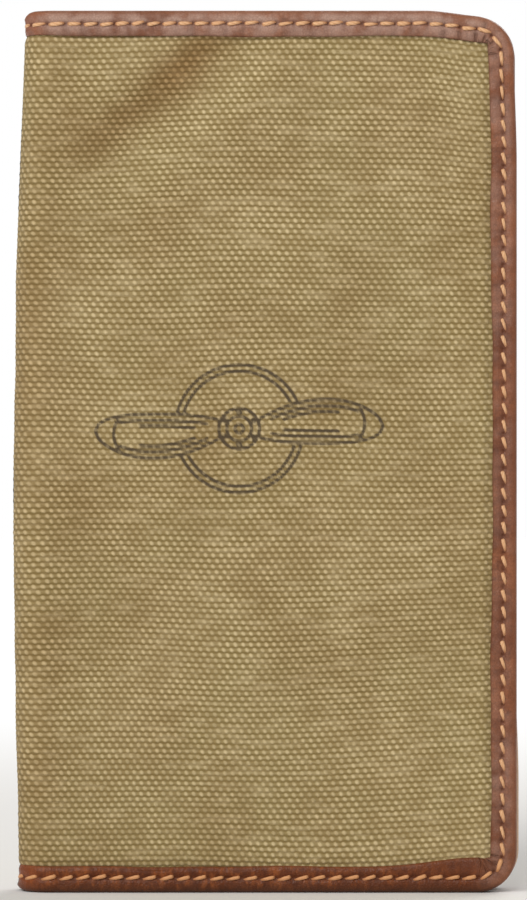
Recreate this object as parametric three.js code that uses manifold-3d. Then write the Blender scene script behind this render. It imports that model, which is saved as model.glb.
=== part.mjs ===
// A tall bifold coat wallet: one canvas cover, folded down its long side and bound all round
// in stitched leather. The front cover holds a full-length pocket and two stacks of three card
// slots. The back cover holds a full-length pocket and a shorter ticket pocket with a thumb notch.
//
// Millimetres. +Z runs up the fold, the front cover faces -Y, and the fold is at -X.
// The origin is at the middle of the bottom edge, which the closed wallet stands on.
// A layer's depth is counted inwards from the outside of the closed wallet.

import * as THREE from "three";
import { mergeVertices } from "three/addons/utils/BufferGeometryUtils.js";
import Module from "manifold-3d";

const wasm = await Module();
wasm.setup();

// Driving dimensions of the closed wallet.
const WIDTH = 102;
const HEIGHT = 178;
const THICKNESS = 14;
const CORNER_RADIUS = 8; // the two corners away from the fold
const BINDING_WIDTH = 5.3; // how far the leather tape laps over each face
const GLUE_LINE = 0.05; // between two layers
const EDGE_PLAY = 0.1; // between a sheet's edge and the inside of the binding

// Sheet thicknesses.
const BINDING_LEATHER = 1.0;
const CANVAS = 1.0;
const BOARD = 0.8;
const LINING = 0.6;
const POCKET_LEATHER = 0.8;
const SLOT_LEATHER = 0.6;

// Sewing: a thread lies in a shallow groove in the leather.
const SEAM_INSET = 2.9; // from the outer edge to the middle of the seam
const THREAD_WIDTH = 0.6;
const THREAD_DEPTH = 0.4;
const GROOVE_PLAY = 0.05;
const POCKET_SEAM_INSET = 0.9; // from a pocket panel's own edge

// Card slots: three panels a stack, the lowest mouth in front.
const SLOTS_PER_STACK = 3;
const SLOT_DEPTH = 43; // a 54 mm card shows 11 mm
const SLOT_STEP = 12;
const LOWER_STACK_Z = 9;
const UPPER_STACK_Z = 93;
const SLOT_CORNER = 2;

// Ticket pocket.
const TICKET_BOTTOM_Z = 9; // clear of the binding's inner corner
const TICKET_TOP_Z = 118;
const NOTCH_HALF_WIDTH = 11;
const NOTCH_DEPTH = 6;

// The fold: half a round tube whose axis is FOLD_X, with a hinge at each quarter.
const HALF_T = THICKNESS / 2;
const FORE_X = WIDTH / 2;
const FOLD_X = -WIDTH / 2 + HALF_T;
const COVER_ANGLE = 38; // how far round the fold each cover's sheets reach, in degrees
const COVER_BINDING_ANGLE = 35; // the binding stands outside the hinge, so it stops short
const SPINE_ANGLE = 52;
const SPINE_BINDING_ANGLE = 57;
const ARC_STEP = 6; // degrees
const PAST = 5; // cutting solids run this far past what they cut

// Pocket panels lie between the fold and the binding's inside edge. Between their side seams
// they leave 86.1 mm, for a card 85.6 mm long.
const POCKET_LEFT_X = FOLD_X + 1;
const POCKET_RIGHT_X = FORE_X - BINDING_WIDTH - 0.2;

const BACK = 1;
const FRONT = -1;

const matt = (color, roughness) => new THREE.MeshStandardMaterial({ color, roughness, metalness: 0 });
const MATERIALS = {
  canvas: matt(0x9f8b62, 0.95),
  binding: matt(0x8a5b43, 0.5),
  pocket: matt(0x7a4a33, 0.55),
  lining: matt(0x8c7a58, 0.95),
  board: matt(0x6f5b45, 0.9),
  thread: matt(0xc8935f, 0.7),
};

// ---- The stack of sheets, from the outside in ----

function layerAfter(outer, thickness) {
  const from = outer.to + GLUE_LINE;
  return { from, to: from + thickness };
}

const flange = { from: 0, to: BINDING_LEATHER };
const canvas = layerAfter(flange, CANVAS);
const board = layerAfter(canvas, BOARD);
const lining = layerAfter(board, LINING);
const pocket = layerAfter(lining, POCKET_LEATHER);
const innerFlange = layerAfter(pocket, BINDING_LEATHER);
const spineInnerFlange = layerAfter(lining, BINDING_LEATHER);
const ticket = layerAfter(pocket, POCKET_LEATHER);

// Slot 1 has the lowest mouth and lies innermost; the last one lies on the pocket panel.
function slotLayer(number) {
  const from = pocket.to + GLUE_LINE + (SLOTS_PER_STACK - number) * (SLOT_LEATHER + GLUE_LINE);
  return { from, to: from + SLOT_LEATHER };
}

// ---- Solids ----

function toSolid(geometry) {
  geometry.deleteAttribute("normal");
  geometry.deleteAttribute("uv");
  const merged = mergeVertices(geometry, 1e-4);
  const vertProperties = merged.attributes.position.array;
  const triVerts = new Uint32Array(merged.index.array);
  return new wasm.Manifold(new wasm.Mesh({ numProp: 3, vertProperties, triVerts }));
}

function toGeometry(solid) {
  const mesh = solid.getMesh();
  const geometry = new THREE.BufferGeometry();
  geometry.setAttribute("position", new THREE.BufferAttribute(mesh.vertProperties, 3));
  geometry.setIndex(new THREE.BufferAttribute(mesh.triVerts, 1));
  return geometry;
}

function named(name, solid, material) {
  const mesh = new THREE.Mesh(toGeometry(solid), material);
  mesh.name = name;
  return mesh;
}

// A shape drawn in X and Y, raised along Z.
function raised(shape, zLow, zHigh) {
  const geometry = new THREE.ExtrudeGeometry(shape, { depth: zHigh - zLow, bevelEnabled: false });
  return toSolid(geometry.translate(0, 0, zLow));
}

// A shape drawn in X and Z, as a plate between two values of Y.
function plate(shape, yLow, yHigh) {
  const options = { depth: yHigh - yLow, bevelEnabled: false, curveSegments: 6 };
  const geometry = new THREE.ExtrudeGeometry(shape, options);
  return toSolid(geometry.rotateX(Math.PI / 2).translate(0, yHigh, 0));
}

function arcPoints(radius, fromDegrees, toDegrees, side) {
  const steps = 2 * Math.ceil(Math.abs(toDegrees - fromDegrees) / (2 * ARC_STEP));
  const points = [];
  for (let i = 0; i <= steps; i++) {
    const share = steps ? i / steps : 0;
    const angle = THREE.MathUtils.degToRad(fromDegrees + (toDegrees - fromDegrees) * share);
    points.push(new THREE.Vector2(FOLD_X - radius * Math.sin(angle), side * radius * Math.cos(angle)));
  }
  return points;
}

// The plan of a cover, inset from its edge and running on past the fold.
function coverPlan(inset) {
  const left = -FORE_X - PAST;
  const right = FORE_X - inset;
  const low = inset;
  const high = HEIGHT - inset;
  const radius = Math.max(CORNER_RADIUS - inset, 0.8);
  const shape = new THREE.Shape();
  shape.moveTo(left, low);
  shape.lineTo(right - radius, low);
  shape.absarc(right - radius, low + radius, radius, -Math.PI / 2, 0);
  shape.lineTo(right, high - radius);
  shape.absarc(right - radius, high - radius, radius, 0, Math.PI / 2);
  shape.lineTo(left, high);
  return shape;
}

const coverBlock = (inset) => plate(coverPlan(inset), -THICKNESS, THICKNESS);

// A sheet over one cover, curving round the fold as far as the angle.
function coverSheet(side, layer, inset, angle) {
  const outer = HALF_T - layer.from;
  const inner = HALF_T - layer.to;
  const outline = new THREE.Shape([
    new THREE.Vector2(FORE_X + PAST, side * outer),
    ...arcPoints(outer, 0, angle, side),
    ...arcPoints(inner, angle, 0, side),
    new THREE.Vector2(FORE_X + PAST, side * inner),
  ]);
  return raised(outline, 0, HEIGHT).intersect(coverBlock(inset));
}

// The same sheet cut away inside, which leaves a frame along three edges.
function coverFrame(side, layer, outerInset, innerInset, angle) {
  return coverSheet(side, layer, outerInset, angle).subtract(coverBlock(innerInset));
}

function spineSheet(layer, zLow, zHigh, angle) {
  const outer = HALF_T - layer.from;
  const inner = HALF_T - layer.to;
  const outline = new THREE.Shape([
    ...arcPoints(outer, angle, 180 - angle, 1),
    ...arcPoints(inner, 180 - angle, angle, 1),
  ]);
  return raised(outline, zLow, zHigh);
}

// A slab between two depths, drawn in X and Z.
function panel(side, layer, shape) {
  const near = side * (HALF_T - layer.to);
  const far = side * (HALF_T - layer.from);
  return plate(shape, Math.min(near, far), Math.max(near, far));
}

// ---- Seams ----

const outerThread = { from: 0, to: THREAD_DEPTH };
const outerGroove = { from: -PAST, to: THREAD_DEPTH + GROOVE_PLAY };

function innerThread(face) {
  return { from: face - THREAD_DEPTH, to: face };
}

function innerGroove(face) {
  return { from: face - THREAD_DEPTH - GROOVE_PLAY, to: face + PAST };
}

function coverSeam(side, layer, play, angle) {
  const half = THREAD_WIDTH / 2 + play;
  return coverFrame(side, layer, SEAM_INSET - half, SEAM_INSET + half, angle);
}

const spineSeamZ = (end) => (end < 0 ? SEAM_INSET : HEIGHT - SEAM_INSET);

function spineSeam(layer, middleZ, play, angle) {
  const half = THREAD_WIDTH / 2 + play;
  return spineSheet(layer, middleZ - half, middleZ + half, angle);
}

// A seam down both sides of a pocket panel and along its bottom.
function pocketSeam(side, face, left, right, low, high, play) {
  const half = THREAD_WIDTH / 2 + play;
  const outer = POCKET_SEAM_INSET - half;
  const inner = POCKET_SEAM_INSET + half;
  const top = high - POCKET_SEAM_INSET + play;
  const shape = new THREE.Shape([
    new THREE.Vector2(left + outer, top),
    new THREE.Vector2(left + outer, low + outer),
    new THREE.Vector2(right - outer, low + outer),
    new THREE.Vector2(right - outer, top),
    new THREE.Vector2(right - inner, top),
    new THREE.Vector2(right - inner, low + inner),
    new THREE.Vector2(left + inner, low + inner),
    new THREE.Vector2(left + inner, top),
  ]);
  return panel(side, play ? innerGroove(face) : innerThread(face), shape);
}

// ---- Pieces ----

function coverBinding(side) {
  const whole = { from: 0, to: innerFlange.to };
  const slot = { from: flange.to, to: innerFlange.from };
  return coverFrame(side, whole, 0, BINDING_WIDTH, COVER_BINDING_ANGLE)
    .subtract(coverSheet(side, slot, BINDING_LEATHER, COVER_ANGLE))
    .subtract(coverSeam(side, outerGroove, GROOVE_PLAY, COVER_ANGLE))
    .subtract(coverSeam(side, innerGroove(innerFlange.to), GROOVE_PLAY, COVER_ANGLE));
}

// The binding over one end of the fold: bottom (end -1) or top (end 1).
function spineBinding(end) {
  const whole = { from: 0, to: spineInnerFlange.to };
  const slot = { from: flange.to, to: spineInnerFlange.from };
  const edge = end < 0 ? 0 : HEIGHT;
  const span = (near, far) => [edge - end * near, edge - end * far].sort((a, b) => a - b);
  const seamZ = spineSeamZ(end);
  const innerCut = { from: innerGroove(spineInnerFlange.to).from, to: HALF_T - 0.5 };
  return spineSheet(whole, ...span(0, BINDING_WIDTH), SPINE_BINDING_ANGLE)
    .subtract(spineSheet(slot, ...span(BINDING_LEATHER, BINDING_WIDTH + PAST), SPINE_ANGLE))
    .subtract(spineSeam(outerGroove, seamZ, GROOVE_PLAY, SPINE_ANGLE))
    .subtract(spineSeam(innerCut, seamZ, GROOVE_PLAY, SPINE_ANGLE));
}

// A pocket panel with rounded mouth corners.
function pocketShape(left, right, low, high) {
  const shape = new THREE.Shape();
  shape.moveTo(left, low);
  shape.lineTo(right, low);
  shape.lineTo(right, high - SLOT_CORNER);
  shape.absarc(right - SLOT_CORNER, high - SLOT_CORNER, SLOT_CORNER, 0, Math.PI / 2);
  shape.lineTo(left + SLOT_CORNER, high);
  shape.absarc(left + SLOT_CORNER, high - SLOT_CORNER, SLOT_CORNER, Math.PI / 2, Math.PI);
  return shape;
}

function ticketShape() {
  const middle = (POCKET_LEFT_X + POCKET_RIGHT_X) / 2;
  const shape = new THREE.Shape();
  shape.moveTo(POCKET_LEFT_X, TICKET_BOTTOM_Z);
  shape.lineTo(POCKET_RIGHT_X, TICKET_BOTTOM_Z);
  shape.lineTo(POCKET_RIGHT_X, TICKET_TOP_Z);
  shape.lineTo(middle + NOTCH_HALF_WIDTH, TICKET_TOP_Z);
  shape.quadraticCurveTo(middle, TICKET_TOP_Z - 2 * NOTCH_DEPTH, middle - NOTCH_HALF_WIDTH, TICKET_TOP_Z);
  shape.lineTo(POCKET_LEFT_X, TICKET_TOP_Z);
  return shape;
}

function fullPocket(side) {
  const inset = BINDING_LEATHER + EDGE_PLAY;
  const uncut = coverSheet(side, pocket, inset, 0);
  const keep = new THREE.BoxGeometry(FORE_X - POCKET_LEFT_X, 2 * THICKNESS, HEIGHT);
  return uncut.intersect(toSolid(keep.translate((FORE_X + POCKET_LEFT_X) / 2, 0, HEIGHT / 2)));
}

function cover(prefix, side) {
  const inset = BINDING_LEATHER + EDGE_PLAY;
  const topThread = coverSeam(side, outerThread, 0, COVER_BINDING_ANGLE);
  const bobbinThread = coverSeam(side, innerThread(innerFlange.to), 0, COVER_BINDING_ANGLE);
  const group = new THREE.Group();
  group.add(
    named(prefix + "_canvas", coverSheet(side, canvas, inset, COVER_ANGLE), MATERIALS.canvas),
    named(prefix + "_stiffener", coverSheet(side, board, inset, 0), MATERIALS.board),
    named(prefix + "_lining", coverSheet(side, lining, inset, COVER_ANGLE), MATERIALS.lining),
    named(prefix + "_long_pocket", fullPocket(side), MATERIALS.pocket),
    named(prefix + "_binding", coverBinding(side), MATERIALS.binding),
    named(prefix + "_binding_top_thread", topThread, MATERIALS.thread),
    named(prefix + "_binding_bobbin_thread", bobbinThread, MATERIALS.thread),
  );
  return group;
}

function cardStack(prefix, lowZ) {
  const group = new THREE.Group();
  for (let number = 1; number <= SLOTS_PER_STACK; number++) {
    const layer = slotLayer(number);
    const highZ = lowZ + SLOT_DEPTH + (number - 1) * SLOT_STEP;
    let solid = panel(FRONT, layer, pocketShape(POCKET_LEFT_X, POCKET_RIGHT_X, lowZ, highZ));
    if (number === 1) {
      const seam = (play) =>
        pocketSeam(FRONT, layer.to, POCKET_LEFT_X, POCKET_RIGHT_X, lowZ, highZ, play);
      solid = solid.subtract(seam(GROOVE_PLAY));
      group.add(named(prefix + "_card_slot_thread", seam(0), MATERIALS.thread));
    }
    group.add(named(prefix + "_card_slot_" + number, solid, MATERIALS.pocket));
  }
  return group;
}

function ticketPocket() {
  const seam = (play) =>
    pocketSeam(BACK, ticket.to, POCKET_LEFT_X, POCKET_RIGHT_X, TICKET_BOTTOM_Z, TICKET_TOP_Z, play);
  const group = new THREE.Group();
  group.add(
    named("ticket_pocket", panel(BACK, ticket, ticketShape()).subtract(seam(GROOVE_PLAY)), MATERIALS.pocket),
    named("ticket_pocket_thread", seam(0), MATERIALS.thread),
  );
  return group;
}

function spine() {
  const low = BINDING_LEATHER + EDGE_PLAY;
  const high = HEIGHT - low;
  const group = new THREE.Group();
  group.add(
    named("spine_canvas", spineSheet(canvas, low, high, SPINE_ANGLE), MATERIALS.canvas),
    named("spine_reinforcement", spineSheet(board, low, high, SPINE_ANGLE), MATERIALS.pocket),
    named("spine_lining", spineSheet(lining, low, high, SPINE_ANGLE), MATERIALS.lining),
  );
  for (const [label, end] of [["bottom", -1], ["top", 1]]) {
    const seam = (layer) => spineSeam(layer, spineSeamZ(end), 0, SPINE_BINDING_ANGLE);
    group.add(
      named("spine_binding_" + label, spineBinding(end), MATERIALS.binding),
      named("spine_top_thread_" + label, seam(outerThread), MATERIALS.thread),
      named("spine_bobbin_thread_" + label, seam(innerThread(spineInnerFlange.to)), MATERIALS.thread),
    );
  }
  return group;
}

const wallet = new THREE.Group();
wallet.add(
  cover("back", BACK),
  ticketPocket(),
  spine(),
  cover("front", FRONT),
  cardStack("lower", LOWER_STACK_Z),
  cardStack("upper", UPPER_STACK_Z),
);

export default wallet;
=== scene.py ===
import math

import bpy
import numpy as np
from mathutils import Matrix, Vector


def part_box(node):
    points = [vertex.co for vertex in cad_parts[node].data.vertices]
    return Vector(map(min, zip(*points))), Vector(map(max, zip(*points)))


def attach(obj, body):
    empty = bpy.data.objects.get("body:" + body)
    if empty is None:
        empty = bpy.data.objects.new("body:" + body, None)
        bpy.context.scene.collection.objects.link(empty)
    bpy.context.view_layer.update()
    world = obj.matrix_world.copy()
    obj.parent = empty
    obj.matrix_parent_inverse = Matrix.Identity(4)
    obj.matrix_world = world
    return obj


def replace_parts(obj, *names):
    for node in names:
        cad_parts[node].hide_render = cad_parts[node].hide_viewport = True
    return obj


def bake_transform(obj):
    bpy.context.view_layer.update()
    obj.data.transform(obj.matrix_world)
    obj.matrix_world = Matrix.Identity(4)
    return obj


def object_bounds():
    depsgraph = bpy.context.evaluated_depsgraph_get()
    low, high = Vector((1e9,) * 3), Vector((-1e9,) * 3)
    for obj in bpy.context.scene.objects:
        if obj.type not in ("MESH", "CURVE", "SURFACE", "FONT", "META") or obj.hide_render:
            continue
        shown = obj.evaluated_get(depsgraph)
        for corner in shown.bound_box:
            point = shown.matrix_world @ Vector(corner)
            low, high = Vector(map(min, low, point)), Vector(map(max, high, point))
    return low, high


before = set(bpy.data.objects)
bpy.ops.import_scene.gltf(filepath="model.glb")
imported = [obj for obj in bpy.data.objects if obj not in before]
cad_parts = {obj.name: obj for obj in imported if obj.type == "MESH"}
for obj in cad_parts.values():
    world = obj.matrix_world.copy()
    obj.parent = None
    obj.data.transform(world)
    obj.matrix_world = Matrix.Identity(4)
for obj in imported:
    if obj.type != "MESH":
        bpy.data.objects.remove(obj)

# A canvas and leather coat wallet. Lengths here are in millimetres and become metres as each
# mesh is made. Most pieces are laid out flat and then folded: u runs along a sheet from the
# middle of the spine to the fore edge, z up, and depth inwards from the outside of the wallet.

CAD_LOW, CAD_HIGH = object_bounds()
MM = 0.001
FRONT, BACK = -1, 1
SIDES = {"front": FRONT, "back": BACK}

HEIGHT = CAD_HIGH.z / MM
FORE_X = CAD_HIGH.x / MM
HALF_T = CAD_HIGH.y / MM
FOLD_X = CAD_LOW.x / MM + HALF_T
CORNER = 8.0  # radius of the two corners away from the fold

TRUE_R = 5.45  # the fold's radius at which sheets keep their length
ARC = TRUE_R * math.pi / 2
FORE_U = ARC + FORE_X - FOLD_X
INNER_R = 2.4  # nothing inside the fold comes closer to its axis

STACK = 5.45  # depth of the binding's inner face
BINDING_WIDTH = 5.3
BOARD_INSET = 1.12  # the canvas and the boards stop this far short of the edge
LINING_INSET = 1.2
SEAM_PITCH = 3.39


# ---- Small maths ----

def smooth(t):
    t = np.clip(t, 0.0, 1.0)
    return t * t * (3 - 2 * t)


def bell(t):
    return np.exp(-t * t)


class Ripple:
    """Smooth seeded noise over two coordinates, from about -1 to 1."""

    def __init__(self, seed, size, waves=9):
        r = np.random.default_rng(seed)
        angle = r.uniform(0, math.tau, waves)
        rate = math.tau / (size * r.uniform(0.7, 1.6, waves))
        self.a, self.b = rate * np.cos(angle), rate * np.sin(angle)
        self.phase = r.uniform(0, math.tau, waves)

    def __call__(self, x, z):
        x, z = np.asarray(x, float)[..., None], np.asarray(z, float)[..., None]
        return np.sin(self.a * x + self.b * z + self.phase).sum(-1) / math.sqrt(len(self.a))


# ---- Folding the flat layout into the wallet ----

def fold(u, z, depth, side):
    """Lays a flat point round the spine. side is FRONT or BACK."""
    u, z, depth = np.broadcast_arrays(np.asarray(u, float), z, depth)
    theta = np.clip((ARC - u) / TRUE_R, 0, math.pi / 2)
    radius = HALF_T - depth
    x = FOLD_X - radius * np.sin(theta) + np.maximum(u - ARC, 0)
    y = side * radius * np.cos(theta)
    return settle(x, y, z, radius, theta, side)


def settle(x, y, z, radius, theta, side):
    """The set that the wallet has taken with use: the spine leans in towards its top, the fore edges are no
    longer straight, the top sags at the fore edge, the spine's ends draw in and the covers belly out."""
    near_fold = smooth((-8 - x) / 34)
    pull = 2.1 * np.clip((z - 75) / 100, 0, 1) ** 1.7 + 0.6 * smooth((70 - z) / 45) - 0.15
    x = x + near_fold * pull * np.clip((radius - INNER_R) / (HALF_T - INNER_R), 0, 1)
    near_fore = smooth((x - 20) / 28)
    if side == FRONT:
        x = x - near_fore * (0.35 + 0.5 * smooth((z - 148) / 22))
    else:
        x = x - near_fore * (0.3 - 0.75 * smooth((48 - z) / 26))
    end = np.sin(theta) ** 12
    low, high = smooth((2.5 - z) / 2.5), smooth((z - HEIGHT + 2.6) / 2.6)
    z = z - 1.2 * smooth((x - 32) / 13) * smooth((z - 120) / 50)
    z = z - 0.9 * end * high + 0.5 * end * low
    flat = np.cos(theta) ** 2
    belly = 0.35 * (1 - np.clip(x / 48, -1, 1) ** 2) * (1 - np.clip(z / 89 - 1, -1, 1) ** 4)
    y = y + side * flat * belly
    return np.stack([x, y, z], -1)


def across_fold(piece):
    """Bakes the placement of a piece that runs round the spine bend into its mesh."""
    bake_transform(piece)


# ---- Meshes ----

def grid_faces(rows, columns, wrap=False):
    """Quads over a grid of vertices stored row by row; wrap closes each row on itself."""
    i = np.arange(rows - 1)[:, None]
    j = np.arange(columns if wrap else columns - 1)[None, :]
    k = (j + 1) % columns
    a, b = i * columns + j, i * columns + k
    c, d = (i + 1) * columns + k, (i + 1) * columns + j
    return np.stack([a, b, c, d], -1).reshape(-1, 4)


def shell_faces(rows, columns):
    """The faces of a closed sheet: a grid on its seen side, one on its hidden side and the wall between."""
    count = rows * columns
    seen = grid_faces(rows, columns)
    index = np.arange(count).reshape(rows, columns)
    rim = np.concatenate([index[:-1, 0], index[-1, :-1], index[:0:-1, -1], index[0, :0:-1]])
    after = np.roll(rim, -1)
    wall = np.stack([rim, rim + count, after + count, after], -1)
    return np.concatenate([seen, seen[:, ::-1] + count, wall])


def make(name, points, faces, material, attributes=None, flip=False):
    """A smooth-shaded mesh object from points in millimetres. Its material reads a point's place as rest."""
    points = np.asarray(points, float).reshape(-1, 3)
    if flip:
        faces = faces[:, ::-1]
    mesh = bpy.data.meshes.new(name)
    mesh.from_pydata((points * MM).tolist(), [], faces.tolist())
    mesh.shade_smooth()
    rest = mesh.attributes.new("rest", "FLOAT_VECTOR", "POINT")
    rest.data.foreach_set("vector", points.astype(np.float32).ravel())
    for key, values in (attributes or {}).items():
        values = np.asarray(values, np.float32)
        if values.ndim == 1:
            mesh.attributes.new(key, "FLOAT", "POINT").data.foreach_set("value", values)
        else:
            mesh.attributes.new(key, "FLOAT_VECTOR", "POINT").data.foreach_set("vector", values.ravel())
    mesh.validate()
    piece = bpy.data.objects.new(name, mesh)
    bpy.context.scene.collection.objects.link(piece)
    mesh.materials.append(material)
    return piece


class Path:
    """A line in the flat layout, measured by the distance along it."""

    def __init__(self, points):
        self.points = np.asarray(points, float)
        step = np.linalg.norm(np.diff(self.points, axis=0), axis=1)
        self.at = np.concatenate([[0], np.cumsum(step)])
        self.length = self.at[-1]

    def place(self, t):
        return np.stack([np.interp(t, self.at, self.points[:, k]) for k in (0, 1)], -1)

    def heading(self, t):
        ahead = self.place(np.clip(t + 0.2, 0, self.length)) - self.place(np.clip(t - 0.2, 0, self.length))
        return ahead / np.linalg.norm(ahead, axis=-1, keepdims=True)


def left_of(heading):
    return np.stack([-heading[..., 1], heading[..., 0]], -1)


def border(inset):
    """The cover's edge in the flat layout, from the bottom of the spine round to its top."""
    radius = CORNER - inset
    right, top = FORE_U - inset, HEIGHT - inset
    turn = np.linspace(0, math.pi / 2, 16)
    low = [(right - radius + radius * math.sin(t), inset + radius - radius * math.cos(t)) for t in turn]
    high = [(right - radius + radius * math.cos(t), top - radius + radius * math.sin(t)) for t in turn]
    return Path([(0, inset), *low, *high, (0, top)])


def round_corners(u, z, inset):
    """Draws the corners of a flat sheet in to the binding's corners; inset is the sheet's own."""
    radius = CORNER - inset
    a, b = u - (FORE_U - CORNER), np.abs(z - HEIGHT / 2) - (HEIGHT / 2 - CORNER)
    reach = np.hypot(a, b)
    cut = (a > 0) & (b > 0) & (reach > radius)
    u = np.where(cut, u - a + a * radius / np.maximum(reach, 1e-6), u)
    z = np.where(cut, z + np.sign(z - HEIGHT / 2) * (b * radius / np.maximum(reach, 1e-6) - b), z)
    return u, z


# ---- Materials ----

class Nodes:
    """A short way to write a node tree."""

    def __init__(self, name):
        self.material = bpy.data.materials.new(name)
        self.material.use_nodes = True
        self.tree = self.material.node_tree
        self.shader = self.tree.nodes["Principled BSDF"]

    def node(self, kind, inputs=None, **settings):
        made = self.tree.nodes.new("ShaderNode" + kind)
        for key, value in settings.items():
            setattr(made, key, value)
        for key, value in (inputs or {}).items():
            self.feed(made.inputs[key], value)
        return made

    def feed(self, socket, value):
        if isinstance(value, bpy.types.NodeSocket):
            self.tree.links.new(value, socket)
        else:
            socket.default_value = value

    def attribute(self, name, output="Vector"):
        return self.node("Attribute", attribute_name=name).outputs[output]

    def parts(self, vector):
        return self.node("SeparateXYZ", {0: vector}).outputs

    def math(self, operation, a, b=0.0, c=0.0, clamp=False):
        made = self.node("Math", {0: a, 1: b, 2: c}, operation=operation, use_clamp=clamp)
        return made.outputs[0]

    def ramp(self, value, low, high, to_low=0.0, to_high=1.0):
        """A smooth step from to_low to to_high as value goes from low to high."""
        inputs = {"Value": value, "From Min": low, "From Max": high, "To Min": to_low, "To Max": to_high}
        return self.node("MapRange", inputs, interpolation_type="SMOOTHSTEP").outputs["Result"]

    def mix(self, factor, a, b, blend="MIX"):
        made = self.node("Mix", data_type="RGBA", blend_type=blend)
        for key, value in ((0, factor), (6, a), (7, b)):
            self.feed(made.inputs[key], value)
        return made.outputs[2]

    def scaled(self, vector, scale):
        return self.node("Mapping", {"Vector": vector, "Scale": scale}).outputs["Vector"]

    def noise(self, vector, scale, detail=3.0, roughness=0.5):
        inputs = {"Vector": vector, "Scale": scale, "Detail": detail, "Roughness": roughness}
        return self.node("TexNoise", inputs).outputs["Fac"]

    def cells(self, vector, scale, feature="DISTANCE_TO_EDGE", output="Distance"):
        inputs = {"Vector": vector, "Scale": scale}
        return self.node("TexVoronoi", inputs, feature=feature).outputs[output]

    def bump(self, height, strength, distance, normal=None):
        inputs = {"Height": height, "Strength": strength, "Distance": distance}
        if normal is not None:
            inputs["Normal"] = normal
        return self.node("Bump", inputs).outputs["Normal"]

    def finish(self, colour, roughness, normal, specular=0.5, sheen=0.0, sheen_tint=(1, 1, 1, 1)):
        self.feed(self.shader.inputs["Base Color"], colour)
        self.feed(self.shader.inputs["Roughness"], roughness)
        self.feed(self.shader.inputs["Normal"], normal)
        self.shader.inputs["Specular IOR Level"].default_value = specular
        self.shader.inputs["Sheen Weight"].default_value = sheen
        self.shader.inputs["Sheen Roughness"].default_value = 0.5
        self.shader.inputs["Sheen Tint"].default_value = sheen_tint
        return self.material


def rgb(red, green, blue):
    """A colour given as 0 to 255 on screen, as the shader wants it."""
    def linear(v):
        v /= 255
        return v / 12.92 if v <= 0.04045 else ((v + 0.055) / 1.055) ** 2.4
    return (linear(red), linear(green), linear(blue), 1.0)


def duck_canvas():
    """A coarse plain weave. weave holds the warp count, the weft count and each crossing's own tone, print
    the distance to the nearest printed line, and soil how darkened the cloth is, by stains and by painted
    shade."""
    n = Nodes("duck_canvas")
    warp, weft, tone = n.parts(n.attribute("weave"))
    rest = n.attribute("rest")
    stray = n.noise(rest, 0.45, 2.0)
    weft = n.math("MULTIPLY_ADD", stray, 0.22, n.math("SUBTRACT", weft, 0.11))
    from_row = n.math("SUBTRACT", n.math("FRACT", n.math("ADD", weft, 0.5)), 0.5)
    swing = n.math("COSINE", n.math("MULTIPLY", n.math("MULTIPLY_ADD", from_row, 0.35, warp), math.pi))
    above = n.math("SIGN", n.math("COSINE", n.math("MULTIPLY", weft, math.pi)))
    over = n.math("MULTIPLY", swing, above)
    off = n.math("PINGPONG", weft, 0.5)
    half = n.math("MULTIPLY_ADD", over, 0.09, 0.38)
    ridge = n.ramp(n.math("DIVIDE", off, half), 0.4, 1.3, 1.0, 0.0)
    spread = n.math("MULTIPLY_ADD", over, -0.56, 0.56)
    knot = n.ramp(n.math("MULTIPLY_ADD", n.math("MULTIPLY", off, off), 4.0, spread), 0.0, 1.05, 1.0, 0.0)
    height = n.math("MULTIPLY_ADD", knot, 0.6, n.math("MULTIPLY", ridge, 0.4))
    fibre = n.noise(n.scaled(rest, (1.1, 1.1, 5.0)), 2.2, 4.0, 0.7)
    fuzz = n.noise(rest, 5.5, 3.0, 0.7)
    patch = n.noise(rest, 0.035, 3.0, 0.55)
    cloud = n.noise(rest, 0.2, 3.0, 0.6)
    slub = n.noise(n.scaled(rest, (0.2, 0.2, 0.9)), 1.0, 2.0)
    # painted shade darkens the gaps between the rows of yarn, and a painted highlight lightens each raised
    # knot
    colour = n.mix(ridge, rgb(127, 105, 60), rgb(158, 137, 92))
    colour = n.mix(knot, colour, rgb(219, 198, 154))
    dulled = n.math("MULTIPLY_ADD", tone, 0.5, n.math("MULTIPLY_ADD", fibre, 0.35, -0.2), clamp=True)
    colour = n.mix(dulled, colour, rgb(142, 121, 78))
    colour = n.mix(n.ramp(patch, 0.36, 0.66, 0.18, 0.0), colour, rgb(152, 142, 98))
    colour = n.mix(n.ramp(patch, 0.5, 0.72, 0.0, 0.16), colour, rgb(196, 178, 136))
    colour = n.mix(n.ramp(cloud, 0.34, 0.62, 0.32, 0.0), colour, rgb(142, 119, 76))
    colour = n.mix(n.ramp(slub, 0.48, 0.72, 0.0, 0.24), colour, rgb(214, 194, 152))
    # stains darken the cloth; on the front, painted shade darkens the dent's upper flank and a painted
    # highlight lightens its lower flank
    colour = n.mix(n.attribute("soil_and_shade", "Fac"), colour, rgb(184, 148, 102), "MULTIPLY")
    worn = n.math("MULTIPLY_ADD", fuzz, 0.5, n.math("MULTIPLY", knot, 0.28))
    printed = n.ramp(n.attribute("print", "Fac"), 0.16, 0.5, 1.0, 0.0)
    ink = n.math("MULTIPLY", printed, n.ramp(worn, 0.3, 0.75, 0.88, 0.42))
    colour = n.mix(ink, colour, rgb(72, 60, 48))
    lift = n.math("MULTIPLY_ADD", n.math("ADD", fibre, fuzz), 0.16, height)
    normal = n.bump(lift, 0.75, 0.00022)
    return n.finish(colour, n.ramp(fuzz, 0.2, 0.8, 0.86, 0.97), normal, 0.2, 0.2, rgb(230, 220, 190))


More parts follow.
